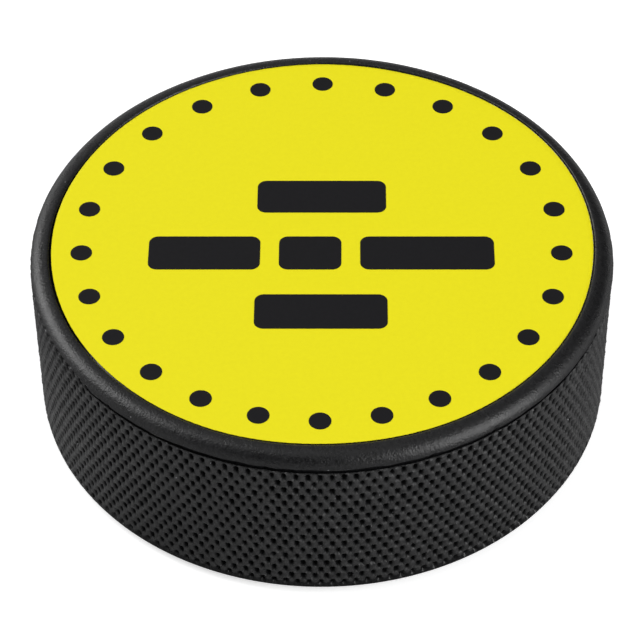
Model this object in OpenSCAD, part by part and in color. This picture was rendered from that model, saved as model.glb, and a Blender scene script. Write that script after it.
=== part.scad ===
// Ice hockey puck. One solid rubber moulding with a rounded rim round each face and a grip band
// between the rims, and a printed top face: a white undercoat, a colour layer, and dark marks on it.
// Millimetres, +Z up, origin at the middle of the underside, which is the face without print.

/* [Puck] */
// Diameter over the rims
puck_d = 76.2; // [70:0.1:82]
// Height from the lower rim to the upper rim
puck_h = 25.4; // [20:0.1:30]
// Rounding radius of the outer edge of each rim
edge_r = 2.1; // [1.6:0.1:3]

/* [Rims and faces] */
// Width of the flat land on top of a rim, which the puck rests on
land_w = 0.2; // [0.1:0.05:0.6]
// Rounding radius on the inner side of a rim
lip_r = 0.35; // [0.3:0.01:0.6]
// Drop from the land of a rim to the face inside it
face_drop = 0.25; // [0.2:0.01:0.3]

/* [Grip band] */
// Depth of the band's surface below the rims
grip_drop = 0.1; // [0.05:0.01:0.3]
// From the land of the upper rim down to the parting groove under it
rim_drop = 1.6; // [1.5:0.05:2]
// Height of the parting groove
groove_h = 0.8; // [0.3:0.05:0.9]
// Depth of the parting groove below the rims
groove_depth = 0.6; // [0.4:0.05:0.8]

/* [Print] */
// How far the middle of the marks lies in front of the puck's axis, towards -Y
print_shift = 1.9; // [0:0.1:3]
// Diameter of the colour layer
colour_d = 70.6; // [60:0.1:70.8]
// How far the white undercoat reaches past the colour layer all round
undercoat_margin = 0.06; // [0.02:0.01:0.1]
// Thickness of the white undercoat
undercoat_t = 0.05; // [0.03:0.01:0.06]
// Thickness of the colour layer
colour_t = 0.05; // [0.03:0.01:0.06]
// Thickness of the dark marks
mark_t = 0.03; // [0.02:0.01:0.05]

/* [Border dots] */
// Number of dots in the ring
dot_count = 24; // [8:1:36]
// Diameter of the ring through the dots' centres
dot_ring_d = 62.5; // [55:0.1:66]
// Diameter of one dot
dot_d = 2.8; // [1.5:0.1:4]

/* [Word bars] */
// Height of a bar across its line
bar_h = 6.1; // [3:0.1:8]
// Rounding radius of a bar's corners
bar_corner_r = 1.2; // [0.5:0.1:1.5]
// Distance from one line to the next
line_pitch = 10.6; // [9:0.1:12]
// Gap between two bars on one line
bar_gap = 2.45; // [1.5:0.05:4]
// Length of the one bar on the first and on the last line
short_line = 17.0; // [10:0.1:25]
// Lengths of the three bars on the middle line, from left to right
middle_line = [14.5, 8.1, 17.4]; // [5:0.1:20]

/* [Hidden] */
$fn = 96;

puck_r = puck_d / 2;
rim_r = puck_r - edge_r;              // where the land ends and the outer rounding starts
land_inner_r = rim_r - land_w;        // where the land ends and the inner rounding starts
grip_r = puck_r - grip_drop;
groove_top = puck_h - rim_drop;
groove_bottom = groove_top - groove_h;
face_z = puck_h - face_drop;          // the bare rubber face under the print
colour_z = face_z + undercoat_t;
mark_z = colour_z + colour_t;
past = 1;                             // how far a cutting shape runs past what it cuts

// Direction of border dot number i. The ring itself stays round the puck's axis, and its dots
// close up towards the front as the middle of the marks moves that way.
function dot_angle(i) =
    let (even = 90 + i * 360 / dot_count)
    even - asin(print_shift / (dot_ring_d / 2)) * cos(even);

// Length of a line of bars, with the gaps between them
function line_length(bars, i = 0) =
    i == len(bars) ? -bar_gap : bars[i] + bar_gap + line_length(bars, i + 1);

// Distance from the start of a line to the middle of its bar number n
function bar_middle(bars, n, i = 0) =
    i == n ? bars[i] / 2 : bars[i] + bar_gap + bar_middle(bars, n, i + 1);

// Half section of the plain puck: square in the middle, round at both outer edges
module blank_section() {
    square([rim_r, puck_h]);
    translate([0, edge_r]) square([puck_r, puck_h - 2 * edge_r]);
    for (z = [edge_r, puck_h - edge_r])
        translate([rim_r, z]) circle(edge_r);
}

// What is cut away inside the lower rim; its corner keeps the rim's inner rounding
module face_cut() {
    difference() {
        translate([-past, -past]) square([land_inner_r + past, face_drop + past]);
        translate([land_inner_r, lip_r]) circle(lip_r);
    }
}

// What is cut away outside the grip band, down to where the lower rounding starts
module grip_cut() {
    translate([grip_r, edge_r]) square([past, groove_bottom - edge_r]);
}

// What is cut away for the parting groove, with a round bottom
module groove_cut() {
    middle_z = (groove_top + groove_bottom) / 2;
    bottom_r = puck_r - groove_depth + groove_h / 2;
    translate([bottom_r, middle_z]) circle(groove_h / 2);
    translate([bottom_r, groove_bottom]) square([past, groove_h]);
}

module rubber_body() {
    color([0.10, 0.10, 0.11])
        rotate_extrude($fn = 180)
            difference() {
                blank_section();
                face_cut();
                translate([0, puck_h]) mirror([0, 1]) face_cut();
                grip_cut();
                groove_cut();
            }
}

module white_undercoat() {
    color([0.95, 0.95, 0.93])
        translate([0, 0, face_z])
            cylinder(h = undercoat_t, r = colour_d / 2 + undercoat_margin);
}

module yellow_face() {
    color([0.93, 0.89, 0.15])
        translate([0, 0, colour_z])
            cylinder(h = colour_t, d = colour_d);
}

module border_dots() {
    color([0.14, 0.14, 0.15])
        for (i = [0 : dot_count - 1])
            rotate([0, 0, dot_angle(i)])
                translate([dot_ring_d / 2, 0, mark_z])
                    cylinder(h = mark_t, d = dot_d);
}

// One plain bar with rounded corners, centred on the origin
module bar(length) {
    inner = [length - 2 * bar_corner_r, bar_h - 2 * bar_corner_r];
    linear_extrude(mark_t) {
        square([inner.x, bar_h], center = true);
        square([length, inner.y], center = true);
        for (x = [-1, 1], y = [-1, 1])
            translate([x * inner.x / 2, y * inner.y / 2]) circle(bar_corner_r);
    }
}

// One centred line of bars
module bar_line(bars) {
    for (n = [0 : len(bars) - 1])
        translate([bar_middle(bars, n) - line_length(bars) / 2, 0, 0])
            bar(bars[n]);
}

module word_bars() {
    color([0.14, 0.14, 0.15])
        translate([0, -print_shift, mark_z]) {
            translate([0, line_pitch, 0]) bar_line([short_line]);
            bar_line(middle_line);
            translate([0, -line_pitch, 0]) bar_line([short_line]);
        }
}

rubber_body();
white_undercoat();
yellow_face();
border_dots();
word_bars();
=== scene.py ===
import math

import bpy
import numpy as np
from mathutils import Matrix, Quaternion, Vector


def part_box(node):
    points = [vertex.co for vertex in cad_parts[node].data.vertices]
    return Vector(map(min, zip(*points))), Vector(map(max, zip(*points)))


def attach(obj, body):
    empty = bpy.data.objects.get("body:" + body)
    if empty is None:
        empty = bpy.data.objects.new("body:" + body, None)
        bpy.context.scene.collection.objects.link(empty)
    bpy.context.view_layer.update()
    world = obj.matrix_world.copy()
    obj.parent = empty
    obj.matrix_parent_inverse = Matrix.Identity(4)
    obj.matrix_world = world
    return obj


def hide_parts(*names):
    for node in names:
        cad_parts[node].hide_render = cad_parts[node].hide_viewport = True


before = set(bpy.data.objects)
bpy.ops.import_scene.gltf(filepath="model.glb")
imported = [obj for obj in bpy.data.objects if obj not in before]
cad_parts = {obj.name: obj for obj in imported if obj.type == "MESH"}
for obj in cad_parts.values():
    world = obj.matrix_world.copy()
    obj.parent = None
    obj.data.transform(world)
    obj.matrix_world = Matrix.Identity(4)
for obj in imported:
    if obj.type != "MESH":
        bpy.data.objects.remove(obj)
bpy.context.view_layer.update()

# ---------------------------------------------------------------------------
# Sizes, in millimetres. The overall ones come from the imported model.
# ---------------------------------------------------------------------------
MM = 0.001
body_low, body_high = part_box("rubber_body")
white_low, white_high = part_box("white_undercoat")
yellow_low, yellow_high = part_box("yellow_face")

PUCK_R = (body_high.y - body_low.y) / 2 / MM
PUCK_H = (body_high.z - body_low.z) / MM
EDGE_R = 2.1            # outer rounding of each rim
LAND_W = 0.2            # flat land on top of each rim
LIP_R = 0.35            # inner rounding of each rim
FACE_DROP = 0.25        # from the land down to the face
RIM_R = PUCK_R - EDGE_R
LAND_INNER_R = RIM_R - LAND_W

FLOOR_R = 35.1          # where the flat floor inside a rim ends
CREVICE_INNER_R = 35.34
CREVICE_R = 35.46       # outer side of the crevice between the printed face and the rim
CREVICE_DEPTH = 0.04
CREVICE_DEEPER = 0.9    # how much deeper the crevice is where it is open
CREVICE_WIDER = 0.14    # and how far the rim's inner side is moved outwards there
LIP_MOVES = (35.5, 36.0)        # moved in full up to the first radius, and not at all from the second on

# The grip band is a net of crossing ridges, with a pit in each diamond of the net
COLUMNS = 160           # diamonds round the puck
PIT_ROWS = 17           # rows of pits, each row half a diamond on from the one above
FIRST_ROW = 3.3         # from the top of the rim down to the first row of pits
ROW_STEP = 1.256        # from one row of pits to the next
GRIP_DROP = 0.1         # from the rims in to the ridges
PIT_DEPTH = 0.9         # from the ridges in to the bottom of a pit
PIT_FLOOR = 0.115       # from the middle of a pit to the edge of its floor, in sides of a diamond
PIT_EDGE = 0.212        # from the middle of a pit to its edge, in sides of a diamond
EDGE_SHARE = 0.32       # share of a pit's depth that is reached at its edge: the ridges are crowned
RIDGE_SAG = 0.12        # how far the net sags between the crossings of its ridges
ROUGHNESS = 0.022       # how far the points of the net stand in or out at random
STEPS = 5               # mesh steps along one side of a diamond
RING_POINTS = COLUMNS * STEPS

# The parting groove under the upper rim
RIM_DROP = 1.6          # from the top of the rim down to the groove
GROOVE_H = 0.8
GROOVE_DEPTH = 0.6
ROUNDED_TO = 1.0        # depth down to which the mesh rings follow the outer rounding in equal turns
UNDER_RIM = (1.15, 1.3, 1.45, 1.6, RIM_DROP)    # depths of the rings from there to the groove's top edge
# across the groove: how far down it, in shares of its height, and how far in, in shares of its depth
GROOVE_SECTION = ((0.05, 0.6), (0.2, 0.95), (0.7, 1.0), (1.3, 1.0), (1.3, 0.85), (1.03, 0.45))

# Where the moulding is uneven: the direction of the middle and the reach to either side of it, in degrees
CREVICE_OPEN = (190, 42)        # the crevice is wide and deep
FLASH = (197, 36)               # flash has closed the groove
WIDE_PITS = (200, 60)           # the pits are wider and the ridges flatter
TEAR = (212, 16)                # the top of the net is torn open
RECESS_OUT = (32, 45)           # the recess reaches outwards
RECESS_IN = (275, 30)           # and inwards

SHARP_CORNER = 48       # degrees between two faces from which their shared edge is shaded sharp


def smooth(x):
    """0 below 0, 1 above 1, and a smooth rise between."""
    x = np.clip(x, 0, 1)
    return x * x * (3 - 2 * x)


def ring_noise(seed, low, high, angle):
    """A smooth random wave round the puck, mostly within -1 to 1, with low to high periods round it."""
    rng = np.random.default_rng(seed)
    total = np.zeros_like(angle)
    for periods in range(low, high + 1):
        size, phase = rng.normal(), rng.uniform(0, math.tau)
        total += size * np.sin(periods * angle + phase)
    return total / math.sqrt(2 * (high - low + 1))


def make_object(name, points, faces, material):
    """A mesh object from points in millimetres, shaded smooth except over its sharp corners."""
    mesh = bpy.data.meshes.new(name)
    mesh.from_pydata((np.asarray(points) * MM).tolist(), [], faces)
    mesh.shade_smooth()
    mesh.set_sharp_from_angle(angle=math.radians(SHARP_CORNER))
    mesh.materials.append(material)
    ob = bpy.data.objects.new(name, mesh)
    bpy.context.scene.collection.objects.link(ob)
    return ob


# ---------------------------------------------------------------------------
# Materials
# ---------------------------------------------------------------------------
class Nodes:
    """A short way to build a node tree. place is the coordinate that its textures are laid on."""

    def __init__(self, tree, coordinate):
        self.tree = tree
        self.place = self.add("ShaderNodeTexCoord").outputs[coordinate]

    def add(self, kind, inputs=None, **settings):
        node = self.tree.nodes.new(kind)
        for key, value in settings.items():
            setattr(node, key, value)
        for key, value in (inputs or {}).items():
            self.set(node.inputs[key], value)
        return node

    def set(self, socket, value):
        if isinstance(value, bpy.types.NodeSocket):
            self.tree.links.new(value, socket)
        else:
            socket.default_value = value

    def noise(self, size_mm, detail=2.0, rough=0.5):
        """Noise with features about size_mm across, 0 to 1."""
        node = self.add(
            "ShaderNodeTexNoise",
            {"Vector": self.place, "Scale": 1 / (size_mm * MM), "Detail": detail, "Roughness": rough},
        )
        return node.outputs["Fac"]

    def maths(self, operation, a, b=0.0):
        return self.add("ShaderNodeMath", {0: a, 1: b}, operation=operation).outputs[0]

    def span(self, value, low, high, from_low=0.0, from_high=1.0):
        """value mapped from one range to another and held inside it."""
        node = self.add(
            "ShaderNodeMapRange",
            {"Value": value, "From Min": from_low, "From Max": from_high, "To Min": low, "To Max": high},
        )
        return node.outputs["Result"]

    def mix(self, factor, a, b):
        node = self.add("ShaderNodeMix", {"Factor": factor}, data_type="RGBA")
        self.set(node.inputs[6], a)
        self.set(node.inputs[7], b)
        return node.outputs[2]

    def bump(self, height, distance_mm, strength, under=None):
        node = self.add(
            "ShaderNodeBump", {"Height": height, "Distance": distance_mm * MM, "Strength": strength}
        )
        if under is not None:
            self.set(node.inputs["Normal"], under)
        return node.outputs["Normal"]


class MaterialNodes(Nodes):
    """The node tree of a new material."""

    def __init__(self, name):
        self.material = bpy.data.materials.new(name)
        self.material.use_nodes = True
        super().__init__(self.material.node_tree, "Object")
        self.shader = self.tree.nodes["Principled BSDF"]


def specks(n, cell_mm, radius_mm, share):
    """A mask of tiny round specks: at most one in each cell, in about this share of the cells."""
    cells = n.add("ShaderNodeTexVoronoi", {"Vector": n.place, "Scale": 1 / (cell_mm * MM)})
    chosen = n.add("ShaderNodeSeparateColor", {"Color": cells.outputs["Color"]})
    present = n.maths("LESS_THAN", chosen.outputs[0], share)
    size = n.span(chosen.outputs[1], 0.5 * radius_mm / cell_mm, radius_mm / cell_mm)
    inside = n.maths("LESS_THAN", cells.outputs["Distance"], size)
    return n.maths("MULTIPLY", present, inside)


def side_and_pits(n):
    """Two masks: the side of the puck between its rims, and the part of it well below the ridges."""
    place = n.add("ShaderNodeSeparateXYZ", {"Vector": n.place})
    flat = n.add("ShaderNodeCombineXYZ", {"X": place.outputs["X"], "Y": place.outputs["Y"]})
    radius = n.add("ShaderNodeVectorMath", {0: flat.outputs[0]}, operation="LENGTH").outputs["Value"]
    below_rim = n.maths("LESS_THAN", place.outputs["Z"], (PUCK_H - RIM_DROP) * MM)
    above_low_rim = n.maths("GREATER_THAN", place.outputs["Z"], EDGE_R * MM)
    side = n.maths("MULTIPLY", below_rim, above_low_rim)
    ridge = PUCK_R - GRIP_DROP
    deep = n.span(radius, 0.0, 1.0, (ridge - 0.14) * MM, (ridge - 0.34) * MM)
    return side, n.maths("MULTIPLY", side, deep)


def rubber_material():
    """Black vulcanised rubber: satin, grainy, a little dusty, dull in the pits, with painted sheen on the
    ridges of the side.
    """
    n = MaterialNodes("moulded_rubber")
    side, pit = side_and_pits(n)
    dust = specks(n, cell_mm=0.9, radius_mm=0.09, share=0.14)
    tone = n.span(n.noise(0.4, 4.0, 0.65), 0.0, 1.0, 0.32, 0.68)
    plain_tone = n.mix(tone, (0.0008, 0.0008, 0.0011, 1), (0.0090, 0.0090, 0.0100, 1))
    # painted sheen, not wear: the side's ridges outside the pits get a lighter base colour for the light
    # they reflect
    painted_sheen = n.mix(tone, (0.0120, 0.0120, 0.0124, 1), (0.0360, 0.0360, 0.0366, 1))
    colour = n.mix(n.maths("SUBTRACT", side, pit), plain_tone, painted_sheen)
    n.set(n.shader.inputs["Base Color"], n.mix(dust, colour, (0.22, 0.22, 0.23, 1)))
    satin = n.span(n.noise(1.8, 5.0, 0.7), 0.22, 0.36, 0.3, 0.7)
    satin = n.maths("ADD", satin, n.maths("MULTIPLY", side, 0.14))
    dull = n.maths("MULTIPLY", n.maths("MAXIMUM", pit, dust), 0.85)
    n.set(n.shader.inputs["Roughness"], n.maths("MAXIMUM", satin, dull))
    n.set(n.shader.inputs["Specular IOR Level"], n.span(pit, 0.5, 0.12))
    pores = n.bump(n.noise(0.25, 2.0, 0.6), 0.05, 1.0)
    grain = n.bump(n.noise(0.5, 3.0, 0.6), 0.05, 0.8, pores)
    n.set(n.shader.inputs["Normal"], n.bump(n.noise(1.4, 2.0), 0.045, 0.6, grain))
    return n.material


def ink_material(name, lighter, darker, mottle_mm, specular):
    """A matte printed layer, slightly uneven in colour, with a faint grain from the rubber under it."""
    n = MaterialNodes(name)
    mottle = n.span(n.noise(mottle_mm, 4.0, 0.65), 0.0, 1.0, 0.3, 0.7)
    n.set(n.shader.inputs["Base Color"], n.mix(mottle, (*darker, 1), (*lighter, 1)))
    n.set(n.shader.inputs["Roughness"], n.span(n.noise(0.8, 3.0), 0.5, 0.62, 0.3, 0.7))
    n.set(n.shader.inputs["Specular IOR Level"], specular)
    n.set(n.shader.inputs["Normal"], n.bump(n.noise(0.35, 3.0), 0.008, 0.4))
    return n.material


rubber = rubber_material()
yellow_ink = ink_material("yellow_ink", (0.94, 0.855, 0.0088), (0.91, 0.825, 0.0078), 0.7, 0.2)
white_ink = ink_material("white_ink", (0.80, 0.79, 0.74), (0.74, 0.73, 0.68), 0.6, 0.3)
black_ink = ink_material("black_ink", (0.0098, 0.0094, 0.0110), (0.0082, 0.0079, 0.0093), 0.5, 0.15)


# ---------------------------------------------------------------------------
# The rubber body: rings of points from the middle of the top face, over the
# upper rim, down the side and round to the middle of the underside
# ---------------------------------------------------------------------------
def ring_angles(index):
    """Angles of ring number index: every other ring is turned by half a step."""
    return (np.arange(RING_POINTS) + (0.5 if index % 2 == 0 else 0.0)) * math.tau / RING_POINTS


def bump_at(centre, half_width, angle):
    """1 at a direction, in degrees, falling smoothly to 0 at half_width degrees on either side."""
    off = (np.degrees(angle) - centre + 180) % 360 - 180
    return smooth(1 - np.abs(off) / half_width)


def recess_edge(angle):
    """How far the edge of the printed face stands outside its true circle: it is a little out of round."""
    wander = -0.05 + 0.08 * np.cos(angle) + 0.12 * np.sin(angle) + 0.05 * ring_noise(17, 3, 9, angle)
    return wander + 0.34 * bump_at(*RECESS_OUT, angle) - 0.14 * bump_at(*RECESS_IN, angle)


def rim_wave(seed, angle):
    """How far the rim stands out of true."""
    return 0.02 * ring_noise(seed, 2, 14, angle) + 0.008 * ring_noise(seed + 1, 30, 90, angle)


def lip_profile():
    """(radius, depth) up the inner side of a rim, from the face to the land."""
    lip_start = math.asin((LIP_R - FACE_DROP) / LIP_R)
    for turn in np.linspace(lip_start, math.pi / 2, 4):
        yield LAND_INNER_R - LIP_R * math.cos(turn), LIP_R * (1 - math.sin(turn))


def rounding_radius(depth):
    """Radius of a rim's outer rounding at a depth below the rim's top."""
    return RIM_R + np.sqrt(EDGE_R**2 - np.clip(EDGE_R - depth, 0, EDGE_R) ** 2)


def upper_rim(rings):
    """From the floor inside the rim, over the crevice and the land, and down the outer rounding."""
    # radius, depth below the top of the rim, and share of the crevice's own depth
    profile = [(FLOOR_R, FACE_DROP, 0.0), (CREVICE_INNER_R, FACE_DROP, 0.9), (CREVICE_R, FACE_DROP, 1.0)]
    profile += [(radius, depth, 0.0) for radius, depth in lip_profile()]
    for turn in np.linspace(math.pi / 2, math.asin((EDGE_R - ROUNDED_TO) / EDGE_R), 8):
        profile.append((RIM_R + EDGE_R * math.cos(turn), EDGE_R * (1 - math.sin(turn)), 0.0))
    for radius, depth, crevice in profile:
        angle = ring_angles(len(rings))
        moved = recess_edge(angle) * np.interp(radius, [CREVICE_R, RIM_R + 0.1], [1.0, 0.0])
        wave = rim_wave(11, angle) * smooth((radius - LAND_INNER_R) / EDGE_R)
        is_open = bump_at(*CREVICE_OPEN, angle)
        deeper = crevice * (CREVICE_DEPTH + CREVICE_DEEPER * is_open)
        moves = 1 - smooth((radius - LIP_MOVES[0]) / (LIP_MOVES[1] - LIP_MOVES[0]))
        wider = CREVICE_WIDER * is_open * moves * (radius >= CREVICE_R)
        rings.append((radius + moved + wave + wider, angle, PUCK_H - depth - deeper))


def to_angle(along):
    """The direction, in radians, of a place that many columns of diamonds round the puck."""
    return along / COLUMNS * math.tau


def torn(along, down):
    """1 in the middle of the stretch where the top of the net is torn wide open, 0 elsewhere."""
    return bump_at(*TEAR, to_angle(along)) * smooth((1.0 - down) / 1.5)


def pit_edge(along, down):
    """From the middle of a pit to its edge, in sides of a diamond."""
    wide = 0.083 * bump_at(*WIDE_PITS, to_angle(along))
    return PIT_EDGE + wide + 0.10 * torn(along, down)


def edge_share(along):
    """Share of a pit's depth that is reached at its edge."""
    return EDGE_SHARE - 0.22 * bump_at(*WIDE_PITS, to_angle(along))


def pit_share(off, edge, at_edge):
    """Share of a pit's depth at a distance off from its middle: 1 on its floor, 0 on a ridge."""
    wall = 1 - (1 - at_edge) * (off - PIT_FLOOR) / (edge - PIT_FLOOR)
    ridge = at_edge * (0.5 - off) / (0.5 - edge)
    return np.where(off < edge, np.minimum(wall, 1), ridge)


# each pit's own depth, as a share of the usual one
pit_scale = np.random.default_rng(31).uniform(0.55, 1.1, (PIT_ROWS + 6, 2 * COLUMNS))


def net_depth(along, down):
    """Depth of the diamond net below its ridges. along is in columns, down in rows from the first row."""
    u, v = along - down / 2, along + down / 2
    cell_u, cell_v = np.round(u), np.round(v)
    row = (cell_v - cell_u).astype(int)
    column = (cell_u + cell_v).astype(int) % (2 * COLUMNS)
    edge = pit_edge(along, down)
    at_edge = edge_share(along)
    share = pit_share(np.abs(u - cell_u), edge, at_edge) * pit_share(np.abs(v - cell_v), edge, at_edge)
    sag = RIDGE_SAG * (np.cos(math.pi * (u - cell_u)) + np.cos(math.pi * (v - cell_v))) / 2
    return PIT_DEPTH * share * pit_scale[row, column] + sag


def closed_net(angle, depth):
    """Depth of the net at a depth below the top of the rim, where it runs on above the grip band."""
    return net_depth(angle / math.tau * COLUMNS, (depth - FIRST_ROW) / ROW_STEP)


def groove_open(angle):
    """1 where the parting groove is open, 0 where flash has closed it."""
    ragged = 0.25 * ring_noise(23, 20, 90, angle)
    return smooth(1.0 - 1.6 * bump_at(*FLASH, angle) + ragged)


def parting_groove(rings):
    """The lower part of the upper rim, and the ragged groove under it: a trench behind the top edge of the
    grip band. Where flash has closed the groove, the net runs up to the rim."""
    for depth in UNDER_RIM:
        angle = ring_angles(len(rings))
        edge = 0.09 * ring_noise(22, 5, 90, angle) * smooth((depth - 1.3) / 0.4)
        net = closed_net(angle, depth) * (1 - groove_open(angle)) * smooth((depth - 1.1) / 0.3)
        rings.append((rounding_radius(depth) + rim_wave(11, angle) - net, angle, PUCK_H - depth + edge))
    for k, (down, inward) in enumerate(GROOVE_SECTION):
        angle = ring_angles(len(rings))
        is_open = groove_open(angle)
        closed_depth = RIM_DROP + GROOVE_H * (k + 1) / (len(GROOVE_SECTION) + 1)
        closed_radius = PUCK_R - GRIP_DROP - closed_net(angle, closed_depth)
        ragged = 1 + 0.15 * ring_noise(21, 6, 60, angle)
        open_radius = PUCK_R - GROOVE_DEPTH * inward * ragged
        depth = closed_depth + (RIM_DROP + GROOVE_H * down - closed_depth) * is_open
        radius = closed_radius + (open_radius - closed_radius) * is_open
        rings.append((radius + rim_wave(11, angle), angle, PUCK_H - depth))


def draw_in(off, edge, amount):
    """Moves the mesh lines at 0.1 and 0.3 from a pit's middle to its floor's edge and to its own edge."""
    distance = np.abs(off)
    target = np.select([distance < 0.2, distance < 0.4], [PIT_FLOOR, edge], 0.5)
    return off + amount * (target - distance) * np.sign(off)


def grip_band(rings):
    """The diamond net. u and v count diamonds along the two ways that its ridges run."""
    rng = np.random.default_rng(33)
    top = (RIM_DROP + GROOVE_H - FIRST_ROW) / ROW_STEP
    # steps of the mesh's rings, counted from the first row of pits
    first = -4
    last = (PIT_ROWS - 1) * STEPS + STEPS - 1
    for step in range(first, last + 1):
        angle = ring_angles(len(rings))
        along = angle / math.tau * COLUMNS
        down = step / STEPS
        u, v = along - down / 2, along + down / 2
        cell_u, cell_v = np.round(u), np.round(v)
        edge = pit_edge(along, down)
        amount = smooth((step - first) / 4) * smooth((last - step) / 4)
        off_u, off_v = draw_in(u - cell_u, edge, amount), draw_in(v - cell_v, edge, amount)
        along = (cell_u + off_u + cell_v + off_v) / 2
        down = np.maximum(cell_v + off_v - cell_u - off_u, top)
        depth = net_depth(along, down)
        height = PUCK_H - FIRST_ROW - down * ROW_STEP
        if step < first + 2:
            # the top edge of the band, with the half pits above the first row as notches in it
            is_open = groove_open(angle)
            depth = np.minimum(depth, 0.28 + 0.05 * (step - first) + PIT_DEPTH * (1 - is_open))
            ragged = 0.10 * ring_noise(24, 8, 110, angle) - 0.9 * depth
            height = height + ragged * is_open * (step == first)
        surface = np.minimum(PUCK_R - GRIP_DROP, rounding_radius(height))
        fade = 1 - smooth((down - (PIT_ROWS - 1) - 0.25) / 0.45)
        out = rim_wave(12, angle) + rng.normal(0, ROUGHNESS, RING_POINTS)
        rings.append((surface + (out - depth) * fade, to_angle(along), height))


def plain_ring(index, radius, height):
    return np.full(RING_POINTS, radius), ring_angles(index), np.full(RING_POINTS, height)


def lower_rim(rings):
    """From the foot of the grip band, round the lower rim, to the underside inside it."""
    reached = math.asin((EDGE_R - rings[-1][2].min()) / EDGE_R)
    for turn in np.linspace(reached, math.pi / 2, 5)[1:]:
        radius, height = RIM_R + EDGE_R * math.cos(turn), EDGE_R * (1 - math.sin(turn))
        rings.append(plain_ring(len(rings), radius, height))
    for radius, height in reversed(list(lip_profile())):
        rings.append(plain_ring(len(rings), radius, height))
    rings.append(plain_ring(len(rings), FLOOR_R, FACE_DROP))


def ring_faces(count):
    """Triangles between rings of points, and a flat cap at each end."""
    faces = []
    n = RING_POINTS
    for k in range(count - 1):
        a, b = k * n, (k + 1) * n
        for i in range(n):
            j = (i + 1) % n
            if k % 2 == 0:
                faces += [(a + i, b + i, b + j), (a + i, b + j, a + j)]
            else:
                faces += [(a + i, b + i, a + j), (a + j, b + i, b + j)]
    faces.append(tuple(range(n)))
    faces.append(tuple(reversed(range((count - 1) * n, count * n))))
    return faces


def make_body():
    rings = []
    upper_rim(rings)
    parting_groove(rings)
    grip_band(rings)
    lower_rim(rings)
    radius, angle, height = (np.concatenate([ring[i] for ring in rings]) for i in range(3))
    points = np.stack([radius * np.cos(angle), radius * np.sin(angle), height], 1)
    return make_object("puck_body", points, ring_faces(len(rings)), rubber)


# ---------------------------------------------------------------------------
# The printed layers
# ---------------------------------------------------------------------------
# rings of a layer's mesh: how far in from its edge, and how far down, as a share of its thickness
LAYER_SECTION = ((0.5, 0.0), (0.015, 0.0), (0.0, 0.3), (0.0, 1.0))


def make_layer(name, material, low, high, offset, grown, seed, raggedness):
    """A printed disc that fills the recess, as high as its CAD solid's box, with an uneven edge."""
    angle = np.arange(RING_POINTS) * math.tau / RING_POINTS
    radius = (high.x - low.x) / 2 / MM + grown
    edge = recess_edge(angle) + raggedness * ring_noise(seed, 60, 260, angle)
    top, bottom = high.z / MM, low.z / MM
    rings = []
    for inward, down in LAYER_SECTION:
        r = radius - inward + edge * (1 - inward)
        x, y = r * np.cos(angle) + offset[0], r * np.sin(angle) + offset[1]
        rings.append(np.stack((x, y, np.full(RING_POINTS, top - down * (top - bottom))), 1))
    n = RING_POINTS
    count = len(LAYER_SECTION)
    faces = [tuple(range(n)), tuple(reversed(range((count - 1) * n, count * n)))]
    for k in range(count - 1):
        for i in range(n):
            j = (i + 1) % n
            faces.append((k * n + i, (k + 1) * n + i, (k + 1) * n + j, k * n + j))
    return make_object(name, np.concatenate(rings), faces, material)


body = make_body()
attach(body, "root")
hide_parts("rubber_body")

undercoat = make_layer(
    "undercoat_layer", white_ink, white_low, white_high,
    offset=(0.08, 0.08), grown=-0.12, seed=41, raggedness=0.02,
)
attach(undercoat, "root")
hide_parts("white_undercoat")

colour = make_layer(
    "yellow_layer", yellow_ink, yellow_low, yellow_high,
    offset=(0.0, 0.0), grown=0.0, seed=43, raggedness=0.012,
)
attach(colour, "root")
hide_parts("yellow_face")

for name in ("border_dots", "word_bars"):
    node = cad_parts[name]
    node.data.materials.clear()
    node.data.materials.append(black_ink)


# ---------------------------------------------------------------------------
# Stage, light and camera
# ---------------------------------------------------------------------------
FLOOR_SIDE = 6.0        # metres
FLOOR_GAP = 0.0001      # metres between the floor and the puck
ROOM_LEVEL = 0.42       # how bright the room is, with white as 1
# parts of the room: azimuth, elevation, radius of the part's middle and radius where it ends, in degrees,
# and how bright its middle is beside the rest of the room
ROOM_PATCHES = ((-107, 46, 13, 33, 0.06), (50, 27, 18, 45, 0.2), (90, 76, 20, 50, 1.3))


def make_floor():
    mesh = bpy.data.meshes.new("floor")
    h = FLOOR_SIDE / 2
    mesh.from_pydata([(-h, -h, 0), (h, -h, 0), (h, h, 0), (-h, h, 0)], [], [(0, 1, 2, 3)])
    ob = bpy.data.objects.new("floor", mesh)
    ob.location.z = -FLOOR_GAP
    bpy.context.scene.collection.objects.link(ob)
    mesh.materials.append(floor_material())


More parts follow.
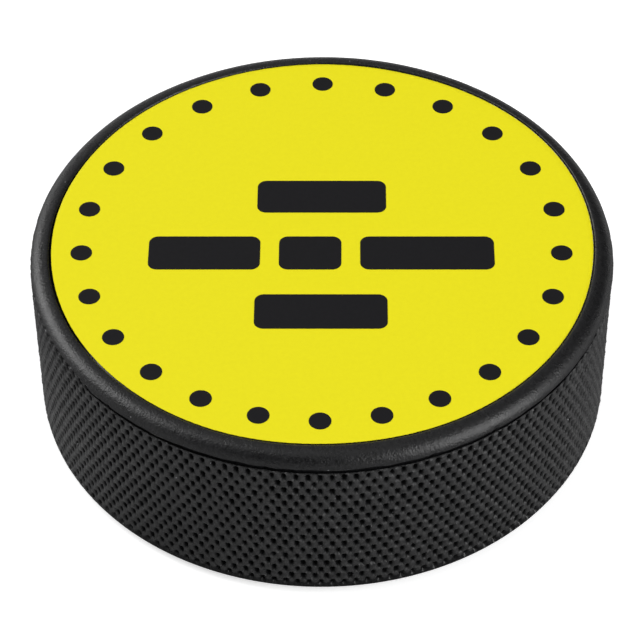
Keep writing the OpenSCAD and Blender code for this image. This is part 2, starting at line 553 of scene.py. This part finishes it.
def floor_material():
    """Pale to the eye. In reflections it is darker close to the puck, a painted shade, but for a patch at
    either side, which is painted light.
    """
    n = MaterialNodes("pale_floor")
    reflected = n.add("ShaderNodeLightPath").outputs["Is Glossy Ray"]
    radius = n.add("ShaderNodeVectorMath", {0: n.place}, operation="LENGTH").outputs["Value"]
    away = n.maths("POWER", n.span(radius, 0.0, 1.0, PUCK_R * MM, (PUCK_R + 120) * MM), 1.6)
    across = n.maths("ABSOLUTE", n.add("ShaderNodeSeparateXYZ", {"Vector": n.place}).outputs["X"])
    to_a_side = n.span(across, 0.0, 1.0, 25 * MM, 42 * MM)
    close = n.span(radius, 1.0, 0.0, PUCK_R * MM, (PUCK_R + 26) * MM)
    # painted shade close to the puck in front and behind, painted light close to it at either side; seen
    # only in reflections
    painted_shade_and_light = n.mix(n.maths("MULTIPLY", to_a_side, close), (0.15, 0.15, 0.15, 1), (0.85, 0.85, 0.85, 1))
    seen_in_rubber = n.mix(away, painted_shade_and_light, (0.72, 0.72, 0.72, 1))
    n.set(n.shader.inputs["Base Color"], n.mix(reflected, (0.86, 0.86, 0.86, 1), seen_in_rubber))
    n.set(n.shader.inputs["Roughness"], 0.9)
    n.set(n.shader.inputs["Specular IOR Level"], 0.0)
    n.set(n.shader.inputs["Emission Color"], (1, 1, 1, 1))
    n.set(n.shader.inputs["Emission Strength"], n.span(reflected, 0.6, 0.0))
    return n.material


def towards(azimuth, elevation):
    """A unit vector that way, in degrees; azimuth is from +X towards +Y."""
    az, el = math.radians(azimuth), math.radians(elevation)
    return Vector((math.cos(az) * math.cos(el), math.sin(az) * math.cos(el), math.sin(el)))


def softbox(name, azimuth, elevation, distance, width, height, radiance, turn=0.0):
    """A soft light that faces the puck, in metres and degrees. radiance is how bright its surface is, with
    white as 1, and turn is about the line from the puck to its middle."""
    light = bpy.data.lights.new(name, "AREA")
    light.shape = "RECTANGLE"
    light.size, light.size_y = width, height
    light.energy = radiance * math.pi * width * height
    ob = bpy.data.objects.new(name, light)
    way = towards(azimuth, elevation)
    ob.location = way * distance
    facing = way.to_track_quat("Z", "Y") @ Quaternion((0, 0, 1), math.radians(turn))
    ob.rotation_euler = facing.to_euler()
    bpy.context.scene.collection.objects.link(ob)


def make_world():
    """A dim room, brighter overhead, with two dark parts; pale where the camera sees it past the floor."""
    world = bpy.data.worlds.new("studio")
    world.use_nodes = True
    n = Nodes(world.node_tree, "Generated")
    level = ROOM_LEVEL
    for azimuth, elevation, inner, outer, relative in ROOM_PATCHES:
        way = towards(azimuth, elevation)
        facing = n.add("ShaderNodeVectorMath", {0: n.place, 1: way}, operation="DOT_PRODUCT")
        edge, middle = math.cos(math.radians(outer)), math.cos(math.radians(inner))
        share = n.span(facing.outputs["Value"], 1.0, relative, edge, middle)
        level = n.maths("MULTIPLY", share, level)
    dim = n.add("ShaderNodeBackground", {"Strength": level, "Color": (1, 1, 1, 1)})
    pale = n.add("ShaderNodeBackground", {"Color": (0.95, 0.95, 0.95, 1)})
    to_camera = n.add("ShaderNodeLightPath").outputs["Is Camera Ray"]
    seen = n.add("ShaderNodeMixShader", {0: to_camera, 1: dim.outputs[0], 2: pale.outputs[0]})
    n.set(n.tree.nodes["World Output"].inputs["Surface"], seen.outputs[0])
    bpy.context.scene.world = world


def make_camera():
    """From in front and well above, a long lens, turned a little about its own axis."""
    azimuth, elevation, distance, turn = -89.4, 46.0, 0.3822, -0.42
    target = Vector((0, 0, 0.01038))
    camera = bpy.data.cameras.new("camera")
    camera.sensor_width, camera.lens = 36.0, 159.4
    camera.clip_start, camera.clip_end = 0.01, 20.0
    ob = bpy.data.objects.new("camera", camera)
    back = towards(azimuth, elevation)
    ob.matrix_world = (
        Matrix.Translation(target + back * distance)
        @ back.to_track_quat("Z", "Y").to_matrix().to_4x4()
        @ Matrix.Rotation(math.radians(turn), 4, "Z")
    )
    bpy.context.scene.collection.objects.link(ob)
    bpy.context.scene.camera = ob


make_floor()
softbox("left_softbox", 156, 34, distance=0.8, width=0.46, height=0.84, radiance=3.4, turn=-32)
softbox("right_softbox", -32, 29, distance=0.8, width=0.55, height=0.62, radiance=3.7)
softbox("low_strip", 5, 0, distance=0.8, width=0.50, height=0.20, radiance=0.6)
make_world()
make_camera()
bpy.context.scene.view_settings.view_transform = "Standard"
